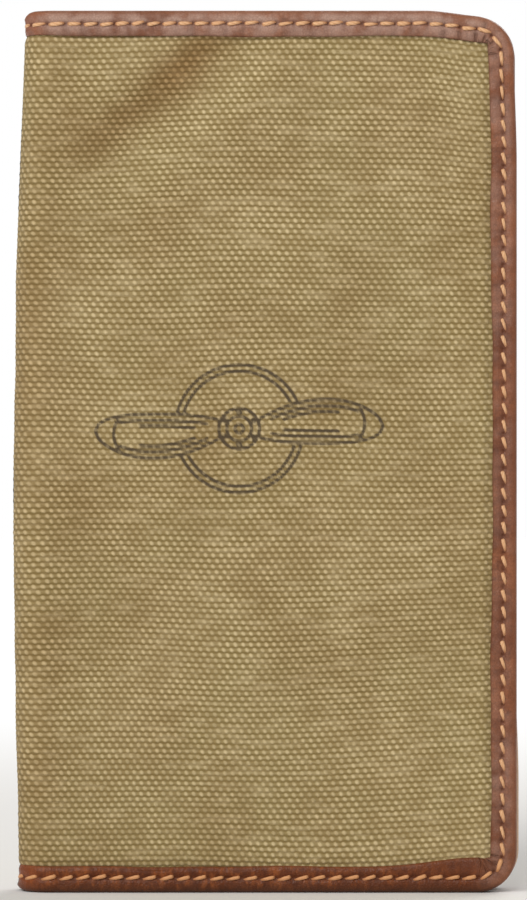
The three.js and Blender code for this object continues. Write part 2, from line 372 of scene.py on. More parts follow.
def binding_leather():
    """Oiled leather tape. mark holds how near a point is to a stitch hole, to a cut or creased edge, and to
    the rubbed outer fold. Painted shade darkens it towards the bottom and round its holes, cut edges, creases
    and puckers, a painted contact shadow darkens its very bottom, and a pale painted sheen lies on it higher
    up, with painted highlights on the back cover's outer fold low down and on the bottom's cut edge."""
    n = Nodes("binding_leather")
    rest = n.attribute("rest")
    hole, edge, rub = n.parts(n.attribute("mark"))
    cloud = n.noise(rest, 0.09, 4.0, 0.6)
    mottle = n.noise(rest, 0.5, 4.0, 0.65)
    pore = n.cells(rest, 1.9)
    fold_line = n.cells(rest, 0.62)
    fine = n.noise(rest, 3.2, 3.0, 0.6)
    sheen_noise = n.noise(rest, 0.24, 3.0, 0.55)
    across, _, height = n.parts(rest)
    colour = n.mix(n.ramp(cloud, 0.35, 0.68), rgb(116, 64, 37), rgb(146, 88, 56))
    fore = n.ramp(across, 41.0, 47.0)
    away = n.math("MULTIPLY_ADD", fore, -0.6, 1.0)
    # painted shade: darker towards the bottom, where less light falls, less so near the fore edge
    colour = n.mix(n.math("MULTIPLY", n.ramp(height, 2.0, 24.0, 0.85, 0.0), away), colour, rgb(101, 48, 17))
    streak = n.noise(n.scaled(rest, (1.0, 1.0, 0.45)), 0.8, 4.0, 0.65)
    low = n.math("MULTIPLY", n.ramp(height, 4.0, 14.0, 1.0, 0.0), n.ramp(across, 5.0, 40.0, 1.0, 0.4))
    colour = n.mix(n.math("MULTIPLY", low, n.ramp(streak, 0.46, 0.68, 0.0, 0.75)), colour, rgb(158, 88, 42))
    colour = n.mix(n.math("MULTIPLY", low, n.ramp(streak, 0.32, 0.5, 0.5, 0.0)), colour, rgb(72, 33, 14))
    colour = n.mix(n.ramp(mottle, 0.4, 0.72, 0.0, 0.7), colour, rgb(84, 42, 22))
    colour = n.mix(n.ramp(across, -50.5, -42.0, 0.6, 0.0), colour, rgb(152, 78, 38))
    # painted sheen: a pale greyish-pink highlight higher up, strongest along the top and near the lower fore
    # corner, broken up by noise and kept off the spine's end and the rubbed fold
    high = n.math("ADD", n.ramp(height, 60.0, 165.0, 0.14, 0.36), n.ramp(height, 169.5, 178.0, 0.0, 0.66))
    high = n.math("ADD", n.math("MULTIPLY", high, n.ramp(height, 3.0, 30.0)),
                  n.math("MULTIPLY", n.ramp(height, 16.0, 44.0, 0.3, 0.0), fore))
    high = n.math("MULTIPLY", high, n.ramp(across, -50.0, -42.0, 0.35, 1.0))
    high = n.math("MULTIPLY", high, n.math("MULTIPLY_ADD", rub, -0.9, 1.0, clamp=True))
    painted_sheen = n.math("MULTIPLY", high, n.ramp(sheen_noise, 0.32, 0.64, 0.25, 1.04))
    colour = n.mix(painted_sheen, colour, rgb(180, 147, 131))
    # scuff: the rubbed outer fold, which is real wear, plus painted highlight on the bottom's cut edge and on
    # the back cover's outer fold low down; the paler tan past 0.8 is that painted highlight on the back's
    # fold
    scuff_and_highlight = n.math("MULTIPLY", rub, n.ramp(mottle, 0.3, 0.7, 0.25, 0.75))
    colour = n.mix(scuff_and_highlight, colour, rgb(160, 100, 66))
    colour = n.mix(n.ramp(rub, 0.8, 1.5), colour, rgb(216, 180, 150))
    colour = n.mix(n.ramp(pore, 0.0, 0.16, 0.2, 0.0), colour, rgb(62, 32, 20))
    # painted shade along the cut edge and in the corner creases and stitch puckers
    colour = n.mix(n.math("MULTIPLY", edge, 0.5), colour, rgb(76, 38, 20))
    # painted shade round each stitch hole
    colour = n.mix(hole, colour, rgb(88, 44, 21))
    # painted contact shadow: nearly black brown along the lowest few millimetres
    colour = n.mix(n.ramp(height, 0.0, 2.8, 0.7, 0.0), colour, rgb(44, 20, 7))
    grain = n.math("MULTIPLY_ADD", n.ramp(pore, 0.0, 0.3), 0.55, n.math("MULTIPLY", fine, 0.5))
    grain = n.math("MULTIPLY_ADD", n.ramp(fold_line, 0.0, 0.12), 0.45, grain)
    normal = n.bump(grain, 0.35, 0.00016)
    normal = n.bump(mottle, 0.45, 0.0006, normal)
    return n.finish(colour, n.ramp(mottle, 0.3, 0.75, 0.3, 0.5), normal, 0.22)


def pocket_leather():
    """Thinner, smoother leather for the pockets, darker along its creased edges. mark is as for the tape."""
    n = Nodes("pocket_leather")
    rest = n.attribute("rest")
    hole, edge, rub = n.parts(n.attribute("mark"))
    cloud = n.noise(rest, 0.05, 4.0, 0.6)
    mottle = n.noise(rest, 0.4, 4.0, 0.6)
    pore = n.cells(rest, 2.3)
    colour = n.mix(n.ramp(cloud, 0.35, 0.68), rgb(98, 57, 37), rgb(122, 74, 50))
    colour = n.mix(n.ramp(mottle, 0.4, 0.8, 0.0, 0.4), colour, rgb(82, 46, 30))
    colour = n.mix(n.ramp(pore, 0.0, 0.14, 0.35, 0.0), colour, rgb(58, 32, 20))
    colour = n.mix(n.math("MULTIPLY", rub, 0.4), colour, rgb(148, 98, 70))
    colour = n.mix(n.math("MULTIPLY", edge, 0.8), colour, rgb(58, 30, 18))
    # painted shade round each stitch hole
    colour = n.mix(hole, colour, rgb(50, 24, 12))
    grain = n.math("MULTIPLY_ADD", n.ramp(pore, 0.0, 0.3), 0.7, n.math("MULTIPLY", mottle, 0.4))
    normal = n.bump(grain, 0.3, 0.00014)
    return n.finish(colour, n.ramp(mottle, 0.3, 0.75, 0.4, 0.55), normal, 0.28)


def lining_cloth():
    """A fine cotton twill with diagonal ribs 0.5 mm apart. weave holds a point's flat place."""
    n = Nodes("lining_cloth")
    along, up, _ = n.parts(n.attribute("weave"))
    rest = n.attribute("rest")
    rib = n.math("SINE", n.math("MULTIPLY_ADD", along, 9.0, n.math("MULTIPLY", up, 9.0)))
    thread = n.math("SINE", n.math("MULTIPLY_ADD", along, 16.0, n.math("MULTIPLY", up, -5.0)))
    height = n.math("MULTIPLY_ADD", thread, 0.35, rib)
    cloud = n.noise(rest, 0.3, 4.0, 0.7)
    # painted shade darkens the valleys between the ribs
    colour = n.mix(n.ramp(height, -1.2, 1.2), rgb(104, 88, 60), rgb(156, 137, 100))
    colour = n.mix(n.ramp(cloud, 0.35, 0.75, 0.0, 0.5), colour, rgb(116, 98, 68))
    normal = n.bump(height, 0.5, 0.00012)
    return n.finish(colour, n.ramp(cloud, 0.3, 0.7, 0.85, 0.96), normal, 0.2, 0.15, rgb(225, 215, 190))


def waxed_thread():
    """Tan linen thread. ply holds the place round the twist, how far the thread has gone down into its hole,
    and each stitch's own tone."""
    n = Nodes("waxed_thread")
    rest = n.attribute("rest")
    twist, sunk, shade = n.parts(n.attribute("ply"))
    fibre = n.noise(rest, 9.0, 3.0, 0.7)
    lay = n.math("SINE", n.math("MULTIPLY", twist, 3.0))
    # painted shade darkens the grooves between the plies
    colour = n.mix(n.ramp(lay, -1.0, 0.2), rgb(212, 160, 112), rgb(232, 185, 140))
    colour = n.mix(n.ramp(shade, 0.0, 1.0, 0.0, 0.45), colour, rgb(222, 168, 122))
    colour = n.mix(n.ramp(fibre, 0.4, 0.75, 0.0, 0.5), colour, rgb(190, 132, 86))
    _, _, height = n.parts(rest)
    # painted shade: darker and more orange towards the bottom, as on the tape
    colour = n.mix(n.ramp(height, 3.0, 14.0, 0.7, 0.0), colour, rgb(206, 142, 88))
    # painted shade where the thread goes down into its hole
    colour = n.mix(sunk, colour, rgb(150, 84, 38))
    normal = n.bump(n.math("MULTIPLY_ADD", fibre, 0.6, lay), 0.2, 0.00005)
    return n.finish(colour, n.ramp(fibre, 0.3, 0.7, 0.5, 0.66), normal, 0.4, 0.1)


def board():
    """Grey-brown fibre board, seen only at its edges."""
    n = Nodes("stiffener_board")
    rest = n.attribute("rest")
    fibre = n.noise(n.scaled(rest, (1.0, 3.0, 0.3)), 1.4, 5.0, 0.7)
    fleck = n.cells(rest, 1.2, "F1")
    colour = n.mix(n.ramp(fibre, 0.3, 0.7), rgb(98, 80, 60), rgb(136, 114, 88))
    colour = n.mix(n.ramp(fleck, 0.0, 0.25, 0.5, 0.0), colour, rgb(70, 56, 42))
    return n.finish(colour, n.ramp(fibre, 0.3, 0.7, 0.85, 0.95), n.bump(fibre, 0.4, 0.0002), 0.2)


CANVAS = duck_canvas()
BINDING = binding_leather()
POCKET = pocket_leather()
LINING = lining_cloth()
THREAD = waxed_thread()
BOARD = board()


# ---- Stitching ----

STITCH_LENGTH = 2.45
STITCH_R = 0.37
HOLE_REACH = 1.85  # from the middle of a stitch to where its thin end goes down
HOLE_SIZE = 0.42
POCKET_SLANT = -0.1
LEAF_SINK = 0.12  # how far a pocket's own seam is drawn into its leather


def edge_slant(share):
    """How far the stitches round a cover lean, in radians; those along the top lean least."""
    return 0.25 + 0.04 * smooth((share - 0.27) / 0.04) - 0.17 * smooth((share - 0.66) / 0.06)


def edge_length(share):
    """How long the stitches round a cover are; those up the fore edge are shorter."""
    return STITCH_LENGTH - 0.65 * smooth((share - 0.27) / 0.04) * smooth((0.72 - share) / 0.04)


class Seam:
    """A row of stitches along a path in the flat layout. surface gives the depth of the face it is sewn into
    at a flat point, and out is -1 on the wallet's outside and 1 on an inside face. slant and stitch give each
    stitch's lean and length from its share of the way along."""

    def __init__(self, path, surface, out, seed, slant, stitch):
        self.path, self.surface, self.out, self.seed = path, surface, out, seed
        count = int(path.length // SEAM_PITCH)
        pitch = path.length / count
        self.middles = pitch * (np.arange(count) + 0.5)
        share = self.middles / path.length
        self.slant, self.stitch = slant(share), stitch(share)
        self.holes = path.place(pitch * np.arange(count + 1))

    def near_hole(self, u, z, size):
        """1 at a hole and falling off over size."""
        flat = np.stack([np.ravel(u), np.ravel(z)], -1)
        best = np.full(len(flat), 1e9)
        for hole in self.holes:
            best = np.minimum(best, ((flat - hole) ** 2).sum(-1))
        return np.exp(-best / size ** 2).reshape(np.shape(u))

    def sew(self, name, side, lift=0.2):
        """Makes the stitches. q runs along each one from its thin end at -1 to its blunt end at 1."""
        r = np.random.default_rng(self.seed)
        rings, sectors = 13, 10
        q = np.linspace(-1, 1, rings)[None, :, None]
        phi = np.linspace(0, math.tau, sectors, endpoint=False)[None, None, :]
        t = self.middles[:, None, None]
        middle = self.path.place(self.middles)[:, None, None, :]
        heading = self.path.heading(self.middles)[:, None, None, :]
        count = len(self.middles)
        tilt = (self.slant + r.normal(0, 0.04, count))[:, None, None, None]
        along = heading * np.cos(tilt) + left_of(heading) * np.sin(tilt)
        aside = left_of(along)
        length = self.stitch[:, None, None] * (1 + r.normal(0, 0.05, count))[:, None, None] / 2 + 0.25
        offset = r.normal(0, 0.06, count)[:, None, None]
        tail = smooth(-q - 0.05)
        fat = STITCH_R * (1 + r.normal(0, 0.06, count))[:, None, None]
        fat = fat * (1 - 0.55 * tail) * (1 - 0.3 * smooth((q - 0.55) / 0.45))
        twist = phi - 2.6 * q + t
        radius = fat * (1 + 0.05 * np.cos(3 * twist))
        run = q * length - (HOLE_REACH - length) * smooth(-q)
        spread = radius * np.cos(phi) * 1.05 + offset
        height = radius * np.sin(phi) * 0.9 + lift * (1 - q ** 4) - 0.75 * np.abs(q) ** 9 - 0.2 * tail
        shape = np.broadcast_shapes(run.shape, spread.shape, height.shape)
        run, spread, height = (np.broadcast_to(v, shape)[..., None] for v in (run, spread, height))
        flat = middle + along * run + aside * spread
        depth = self.surface(middle[..., 0], middle[..., 1]) + self.out * height[..., 0]
        points = fold(flat[..., 0], flat[..., 1], depth, side)
        ring = grid_faces(rings, sectors, wrap=True)
        faces = (ring[None] + (np.arange(count) * rings * sectors)[:, None, None]).reshape(-1, 4)
        # sunk also darkens the thread with painted shade where it goes down into its holes
        sunk = np.maximum(0.9 * smooth((np.abs(q) - 0.68) / 0.3), 0.6 * smooth((-q - 0.2) / 0.6))
        sunk = np.broadcast_to(sunk, shape)
        tone = np.broadcast_to(r.uniform(0, 1, count)[:, None, None], shape)
        ply = np.stack([np.broadcast_to(twist, shape), sunk, tone], -1)
        flip = (self.out * side) < 0
        return make(name, points, faces, THREAD, {"ply": ply.reshape(-1, 3)}, flip)


# ---- The edge binding ----

OUTER_EDGE = border(0.0)
TURN = CORNER * math.pi / 2
LOW_CORNER = FORE_U - CORNER  # how far along the edge each corner starts
HIGH_CORNER = LOW_CORNER + TURN + HEIGHT - 2 * CORNER


def binding_width(t):
    """The leather tape's width over a face, wavering along its edge."""
    share = t / OUTER_EDGE.length
    waver = 0.1 * np.sin(t / 7.1) + 0.06 * np.sin(t / 2.9 + 1.0)
    slim = 0.45 * bell((share - 0.5) / 0.065) + 0.4 * smooth((share - 0.94) / 0.05)
    return BINDING_WIDTH + waver - slim - square_corners(t)


def square_corners(t):
    """How much narrower the tape is at each corner, where its inner edge keeps nearly square. It widens as
    it comes along the bottom to the lower one."""
    inner = CORNER - BINDING_WIDTH
    total = np.zeros(np.shape(t))
    for start, square, extra in ((LOW_CORNER, 0.6, 1.7), (HIGH_CORNER, 0.95, 0.0)):
        angle = np.clip((t - start) / TURN, 0, 1) * math.pi / 2
        cos, sin = np.maximum(np.cos(angle), 1e-6), np.maximum(np.sin(angle), 1e-6)
        wide = extra * smooth((t - start + 23) / 23)
        total = total + square * np.minimum((inner - wide) / cos, inner / sin)
        total = total + (1 - square) * (inner - wide * cos ** 2) - inner
    return total


def seam_inset(t):
    """How far in from the edge the stitches run."""
    share = t / OUTER_EDGE.length
    return 2.72 + 0.32 * smooth((0.43 - share) / 0.1) + 0.05 * np.sin(t / 11.0)


def seam_path():
    t = np.linspace(0, OUTER_EDGE.length, 1500)
    return Path(OUTER_EDGE.place(t) + left_of(OUTER_EDGE.heading(t)) * seam_inset(t)[:, None])


SEAM_LINE = seam_path()
GROOVE = 0.3  # how far the thread draws the leather in
SPINE_SINK = 0.35  # how much closer the tape is pressed round the spine
THREAD_SINK = 0.2  # how much deeper than the tape the thread is pulled there


def on_bend(u):
    """1 in the middle of the spine, 0 on the covers."""
    return smooth((ARC - u) / ARC)


def outer_face(u, z):
    """The depth of the tape's outside along the seam."""
    return GROOVE * (1 - 0.6 * on_bend(u)) + (SPINE_SINK + THREAD_SINK) * on_bend(u)


def arc_depth(depth, u):
    """Keeps the binding's inner flange clear of the fold's axis where it goes round the spine."""
    squeezed = np.where(depth > 3, 3 + (depth - 3) * 0.653, depth)
    return depth + (squeezed - depth) * smooth((ARC + 2.5 - u) / 3.0)


def inner_face(u, z):
    """The same on its inside."""
    return arc_depth(np.full(np.shape(u), STACK - GROOVE), u)


def section():
    """The tape's cross-section: rows of (share of its width, distance added to that, depth, face). A distance
    marked seam is measured from the stitches. face is 1 outside, -1 inside and 0 where it isn't seen."""
    rows = [(1.0, 0.0, 0.66, 1), (1.0, -0.09, 0.42, 1), (1.0, -0.3, 0.24, 1), (1.0, -0.75, 0.1, 1)]
    around = (1.35, 1.0, 0.75, 0.5, 0.3, 0.12, -0.12, -0.3, -0.5, -0.75, -1.0, -1.35)
    rows += [(0.0, ("seam", s), 0.03, 1) for s in around]
    rows += [(0.0, 1.05, 0.04, 1), (0.0, 0.7, 0.13, 1), (0.0, 0.38, 0.36, 1), (0.0, 0.16, 0.75, 0)]
    rows += [(0.0, 0.04, 1.3, 0), (0.0, 0.0, 2.0, 0), (0.0, 0.0, 2.72, 0)]
    mirrored = [(w, a, STACK - d, -f) for w, a, d, f in reversed(rows[:-1])]
    inside = [(1.0, 0.0, STACK - 0.93, 0), (1.0, -0.15, STACK - 1.0, 0), (0.0, 1.7, STACK - 1.0, 0)]
    inside += [(0.0, 1.1, STACK - 1.3, 0), (0.0, 1.0, STACK / 2, 0), (0.0, 1.1, 1.3, 0), (0.0, 1.7, 1.0, 0)]
    inside += [(1.0, -0.15, 1.0, 0), (1.0, 0.0, 0.93, 0)]
    return rows + mirrored + inside


CREASES = [  # short puckers in the tape at the corners: (corner, share of its turn, from, to, depth, width)
    ("low", 0.3, 3.5, 6.0, 0.28, 0.6), ("low", 0.62, 3.3, 6.0, 0.36, 0.55),
    ("low", 0.9, 3.7, 6.0, 0.24, 0.7), ("high", -0.25, 3.6, 6.0, 0.22, 0.7),
    ("high", 0.04, 3.4, 6.0, 0.36, 0.55), ("high", 0.4, 3.2, 6.0, 0.46, 0.5),
    ("high", 0.68, 3.2, 6.0, 0.42, 0.5), ("high", 0.98, 3.5, 6.0, 0.4, 0.6),
    ("high", 1.26, 3.6, 6.0, 0.34, 0.55), ("high", 1.52, 3.7, 6.0, 0.28, 0.7),
    ("high", 0.78, 0.6, 2.6, 0.4, 0.5), ("low", 0.5, 0.6, 2.0, 0.25, 0.6),
    ("high", 1.9, 3.9, 6.0, 0.2, 0.8), ("high", -0.7, 3.9, 6.0, 0.18, 0.8),
    ("low", 1.4, 3.9, 6.0, 0.18, 0.8), ("high", 5.4, 0.4, 2.2, 0.2, 0.7),
    ("high", 6.1, 0.6, 2.4, 0.16, 0.5), ("high", 4.6, 3.4, 5.2, 0.16, 0.7),
    ("high", 5.6, 3.3, 5.4, 0.18, 0.6), ("low", 2.8, 3.6, 5.4, 0.12, 0.9),
    ("high", -1.9, 0.4, 2.2, 0.12, 0.7),
]


def crease_depth(t, a):
    """How deep the corner puckers are at a distance t along the edge and a in from it."""
    starts = {"low": LOW_CORNER, "high": HIGH_CORNER}
    total = np.zeros(np.broadcast(t, a).shape)
    for corner, share, near, far, depth, width in CREASES:
        middle = starts[corner] + share * TURN
        reach = smooth((a - near) / 0.5 + 0.5) * smooth((far - a) / 0.5 + 0.5)
        total = total + depth * bell((t - middle) / width) * reach
    return total


def tape_places():
    """Places along the cover's edge, closer together round its corners."""
    length = OUTER_EDGE.length
    before, after = LOW_CORNER - 4, LOW_CORNER + TURN + 4
    ends = [0, before, after, length - after, length - before, length]
    spans = zip(ends[:-1], ends[1:], (0.5, 0.26, 0.5, 0.26, 0.5))
    places = [np.linspace(low, high, int((high - low) / step), endpoint=False) for low, high, step in spans]
    return np.concatenate(places + [[length]])


def binding(name):
    """The leather tape round one cover and over half of the spine's two ends, with both rows of stitches."""
    side = SIDES[name]
    t = tape_places()
    width, inset = binding_width(t)[:, None], seam_inset(t)[:, None]
    rows = section()
    share = np.array([w for w, _, _, _ in rows])
    seam = np.array([isinstance(a, tuple) for _, a, _, _ in rows])
    add = np.array([a[1] if isinstance(a, tuple) else a for _, a, _, _ in rows])
    depth = np.array([d for _, _, d, _ in rows])[None, :] + 0 * width
    face = np.array([f for _, _, _, f in rows])[None, :]
    a = share * width + seam * inset + add
    place, inward = OUTER_EDGE.place(t), left_of(OUTER_EDGE.heading(t))
    flat = place[:, None, :] + inward[:, None, :] * a[..., None]
    u, z = flat[..., 0], flat[..., 1]
    outer = Seam(SEAM_LINE, outer_face, -1, 21 + side, edge_slant, edge_length)
    inner = Seam(SEAM_LINE, inner_face, 1, 31 + side, edge_slant, edge_length)
    groove = GROOVE * (1 - 0.6 * on_bend(u)) * bell((a - inset) / 0.62)
    hole = outer.near_hole(u, z, HOLE_SIZE) * (face != 0)
    wrinkle, lump = Ripple(41 + side, 2.3), Ripple(51 + side, 9.0)
    crease = crease_depth(t[:, None], a)
    # each stitch draws a small pucker across the inner part of the tape
    sewn = place + inward * inset
    uneven = 0.6 + 0.4 * np.sin(t / 3.7) * np.sin(t / 8.3 + side)
    pucker = (outer.near_hole(sewn[:, 0], sewn[:, 1], 0.6) * uneven)[:, None]
    pucker = pucker * smooth((a - inset - 0.2) / 0.8)
    sunk = groove + 0.3 * hole * (1 - 0.6 * on_bend(u)) + crease + 0.09 * pucker
    sunk = sunk + 0.02 * wrinkle(u, z) + 0.06 * lump(u, z)
    depth = depth + face * sunk
    depth = depth + SPINE_SINK * (face == 1) * on_bend(u) * smooth((a - 0.5) / 1.2)
    points = fold(u, z, arc_depth(depth, u), side)
    # painted shade darkens the cut edge except along the bottom, where a painted highlight makes it pale like
    # the outer fold; painted shade also darkens the corner creases and the stitch puckers
    cut, along_bottom = smooth((a - width + 0.25) / 0.25), smooth((9 - z) / 3)
    edge_crease_shade = 0.4 * cut * (1 - along_bottom) + (0.55 * smooth(crease / 0.35) + 0.6 * pucker) * (face != 0)
    # worn adds a painted highlight to the back cover's outer fold low down, where the front cover shades it;
    # the rub mark is the worn outer fold plus that and a painted highlight on the cut edge along the bottom
    worn = (side == BACK) * smooth((48 - z) / 26) * smooth((depth - 3.4) / 1.2)
    rub_and_highlight = bell((a - 0.25) / 0.8) * (0.7 + worn) + 0.5 * along_bottom * smooth((a - width + 0.5) / 0.4)
    mark = np.stack([np.clip(hole * 1.15, 0, 1), np.clip(edge_crease_shade, 0, 1), rub_and_highlight], -1).reshape(-1, 3)
    faces = grid_faces(len(t), len(rows), wrap=True)
    tape = make(name + "_edge_tape", points, faces, BINDING, {"mark": mark}, side == FRONT)
    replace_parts(tape, name + "_binding", "spine_binding_top", "spine_binding_bottom")
    top = outer.sew(name + "_edge_stitches_outside", side)
    under = inner.sew(name + "_edge_stitches_inside", side)
    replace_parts(top, name + "_binding_top_thread", "spine_top_thread_top", "spine_top_thread_bottom")
    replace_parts(under, name + "_binding_bobbin_thread", "spine_bobbin_thread_top",
                "spine_bobbin_thread_bottom")
    for piece in (tape, top, under):
        across_fold(piece)


# ---- The canvas ----

WARP_PITCH = 0.787
WEFT_PITCH = 1.1
OFF_GRAIN = 0.0216  # how far the warp leans from upright
SLACK = 1.95  # the deepest that the canvas sinks
MARK_PLACE = (-5.4, 93.6)  # the middle of the printed mark
MARK_REACH = (33, 17)  # how far it goes either side of that
FAR = 9.0  # a distance that no ink reaches


def drawing():
    """The printed mark, as line segments about its own middle: a plain two-bladed propeller and a ring."""
    lines = []

    def add(points):
        points = np.asarray(points, float)
        lines.extend(zip(points[:-1], points[1:]))

    def circle(radius, start=0.0, end=math.tau, steps=48, centre=(0, 0)):
        turn = np.linspace(start, end, steps)
        add(np.stack([centre[0] + radius * np.cos(turn), centre[1] + radius * np.sin(turn)], -1))

    def blade(sign, inside, start, end):
        """One blade's outline drawn a little way inside its edge."""
        x = np.linspace(start, end, 40)
        s = (x - 3.5) / 25.5
        middle = 1.5 * np.sin(s * math.pi * 0.9)
        half = 1.5 + 3.0 * np.sin(np.clip(s, 0, 1) ** 0.8 * math.pi * 0.78)
        half = np.maximum(half * np.sqrt(np.clip(1 - s ** 7, 0, 1)) - inside, 0)
        add(np.stack([sign * x, sign * (middle + half)], -1))
        add(np.stack([sign * x, sign * (middle - half)], -1))

    for sign in (1, -1):
        blade(sign, 0.0, 3.6, 29.0)
        blade(sign, 1.3, 6.5, 24.0)
        blade(sign, 2.5, 9.0, 20.0)
        tip = np.linspace(-1, 1, 12)
        add(np.stack([sign * (25.3 - 0.9 * tip ** 2), sign * (1.1 + 3.0 * tip)], -1))
    circle(4.1)
    circle(2.5)
    circle(0.9, steps=16)
    for k in range(6):
        angle = math.tau * (k + 0.5) / 6
        circle(0.28, steps=8, centre=(3.3 * math.cos(angle), 3.3 * math.sin(angle)))
    for radius in (11.6, 12.9):
        gap = math.asin(4.6 / radius)
        lean = math.asin(1.2 / radius)
        circle(radius, gap + lean, math.pi - gap + lean)
        circle(radius, math.pi + gap + lean, math.tau - gap + lean)
    return np.array(lines)


def distance_to(lines, x, z):
    best = np.full(len(x), FAR)
    for (ax, az), (bx, bz) in lines:
        dx, dz = bx - ax, bz - az
        share = np.clip(((x - ax) * dx + (z - az) * dz) / max(dx * dx + dz * dz, 1e-9), 0, 1)
        best = np.minimum(best, np.hypot(x - ax - share * dx, z - az - share * dz))
    return best


def dent(u, z):
    """A shallow valley in the front that runs down from near the top towards the spine, steeper on its upper
    side: how much deeper the canvas lies, and how much painted shade darkens its upper flank, less a painted
    highlight on its lower flank."""
    from_u, from_z, to_u, to_z = ARC + 39, 173, ARC + 7.5, 145
    du, dz = to_u - from_u, to_z - from_z
    share = ((u - from_u) * du + (z - from_z) * dz) / (du * du + dz * dz)
    off = ((u - from_u) * dz - (z - from_z) * du) / math.hypot(du, dz)
    reach = smooth(share * 3 + 0.6) * smooth((1.15 - share) * 1.9)
    valley = smooth((8.4 - off) / 8.6) * smooth((off + 13) / 12)
    deeper = reach * (1.15 * valley - 0.3 * bell((off - 11) / 5) - 0.5 * bell((off + 15) / 8))
    return deeper, reach * (0.5 * bell((off - 3.6) / 4.4) - 0.2 * bell((off + 7) / 5))


def canvas(name):
    """One half of the canvas, from the middle of the spine to the fore edge, woven in relief: each vertex is
    at a crossing of the yarns or half way to the next one."""
    side = SIDES[name]
    edge = BOARD_INSET
    columns = int((FORE_U - edge) / (WARP_PITCH / 2)) + 1
    first, last = -4, int(HEIGHT / (WEFT_PITCH / 2)) + 5
    i, j = np.meshgrid(np.arange(columns), np.arange(first, last), indexing="ij")
    u = i * WARP_PITCH / 2
    z = j * WEFT_PITCH / 2
    drift, sway = Ripple(61 + side, 60), Ripple(71 + side, 45)
    across = smooth((u - 8) / 15) * smooth((FORE_U - u) / 10)
    rise = 2.1 * np.clip((u - ARC - 59) / 36, 0, 1.2) ** 2 * smooth((90 - z) / 70)
    z = z + 0.35 * drift(u, z) + rise
    u = u + 0.22 * sway(u, z) * across - side * OFF_GRAIN * (z - HEIGHT / 2) * smooth((u - 4) / 40)
    outside = (z < edge) | (z > HEIGHT - edge) | (u > FORE_U - edge)
    u, z = round_corners(np.minimum(u, FORE_U - edge), np.clip(z, edge, HEIGHT - edge), edge)
    # how far inside the binding's edge each point is
    inside = np.minimum(np.minimum(FORE_U - u, z), HEIGHT - z) - BINDING_WIDTH
    on_spine = smooth((ARC + 2 - u) / ARC)
    puff = smooth((inside + 0.1) / (1.8 - 1.2 * on_spine))
    swell = smooth((inside - 2) / 26)
    broad, crumple = Ripple(81 + side, 38), Ripple(91 + side, 13)
    depth = 1.12 - 0.42 * puff - 0.42 * swell + 0.12 * broad(u, z) * swell + 0.04 * crumple(u, z) * puff
    depth = depth - 0.3 * puff * on_spine
    # soil: stains and streaks at random, less low down, more towards the spine and most there low down
    stain, streak = Ripple(121 + side, 42), Ripple(125 + side, 15)
    soil_and_shade = 0.1 + 0.06 * stain(u, z) + 0.05 * streak(u, z * 0.6) - 0.08 * smooth((75 - z) / 50)
    soil_and_shade = soil_and_shade + (0.14 + 0.16 * smooth((60 - z) / 50)) * smooth((ARC + 16 - u) / 18)
    if side == FRONT:
        deeper, darker = dent(u, z)
        # the dent adds painted shade along its upper flank and a painted highlight on its lower flank
        depth, soil_and_shade = depth + puff * deeper, soil_and_shade + darker
    depth = np.minimum(depth, SLACK)
    warp_over = ((i // 2 + j // 2) % 2 == 0) & (i % 2 == 0) & (j % 2 == 0)
    between = np.where(i % 2 != 0, -0.5, -0.38)
    lift = np.where(j % 2 != 0, between, np.where(i % 2 != 0, 0.3, np.where(warp_over, 1.0, -0.1)))
    r = np.random.default_rng(101 + side)
    yarn = 1 + 0.12 * r.normal(0, 1, i.shape) + 0.1 * r.normal(0, 1, (1, i.shape[1]))
    relief = 0.07 * lift * yarn * smooth((inside + 0.3) / 0.6)
    points = fold(u, z, depth - relief, side)
    tone = np.clip(0.35 + 0.2 * r.normal(0, 1, i.shape) + 0.14 * r.normal(0, 1, (1, i.shape[1]))
                   + 0.1 * r.normal(0, 1, (i.shape[0], 1)), 0, 1)
    weave = np.stack([-side * i / 2, j / 2, tone], -1).reshape(-1, 3)
    ink = np.full(i.shape, FAR)
    if side == FRONT:
        mark_x, mark_z = points[..., 0] - MARK_PLACE[0], points[..., 2] - MARK_PLACE[1]
        near = (np.abs(mark_x) < MARK_REACH[0]) & (np.abs(mark_z) < MARK_REACH[1])
        ink[near] = distance_to(drawing(), mark_x[near], mark_z[near])
    faces = grid_faces(*i.shape)
    kept = ~outside.ravel()[faces].all(1)
    piece = make(name + "_canvas_cloth", points, faces[kept], CANVAS,
                 {"weave": weave, "print": ink.ravel(), "soil_and_shade": np.clip(soil_and_shade, 0, 1).ravel()}, side == FRONT)
    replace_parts(piece, name + "_canvas", "spine_canvas")
    across_fold(piece)


# ---- The lining ----

def lining(name):
    """One half of the lining cloth, creased in the fold."""
    side = SIDES[name]
    edge = LINING_INSET
    u = np.concatenate([np.linspace(0, ARC + 4, 44), np.linspace(ARC + 4, FORE_U - edge, 40)[1:]])
    z = np.linspace(edge, HEIGHT - edge, 180)
    u, z = round_corners(*np.meshgrid(u, z, indexing="ij"), edge)
    in_fold = smooth((ARC + 3 - u) / 4) * smooth((np.minimum(z, HEIGHT - z) - 5) / 6)
    wander = Ripple(111, 26)
    crease = 0.16 * np.cos(u * 1.9 + 0.9 * wander(np.zeros_like(u), z)) + 0.08 * wander(u, z)
    depth = 3.5 + in_fold * (0.12 + crease)
    points = fold(u, z, depth, side)
    weave = np.stack([u * -side, z, np.zeros_like(u)], -1).reshape(-1, 3)
    piece = make(name + "_lining_cloth", points, grid_faces(*u.shape), LINING,
                 {"weave": weave}, side == BACK)
    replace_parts(piece, name + "_lining", "spine_lining")
    across_fold(piece)


# ---- Flat panels: boards, pockets and card slots ----

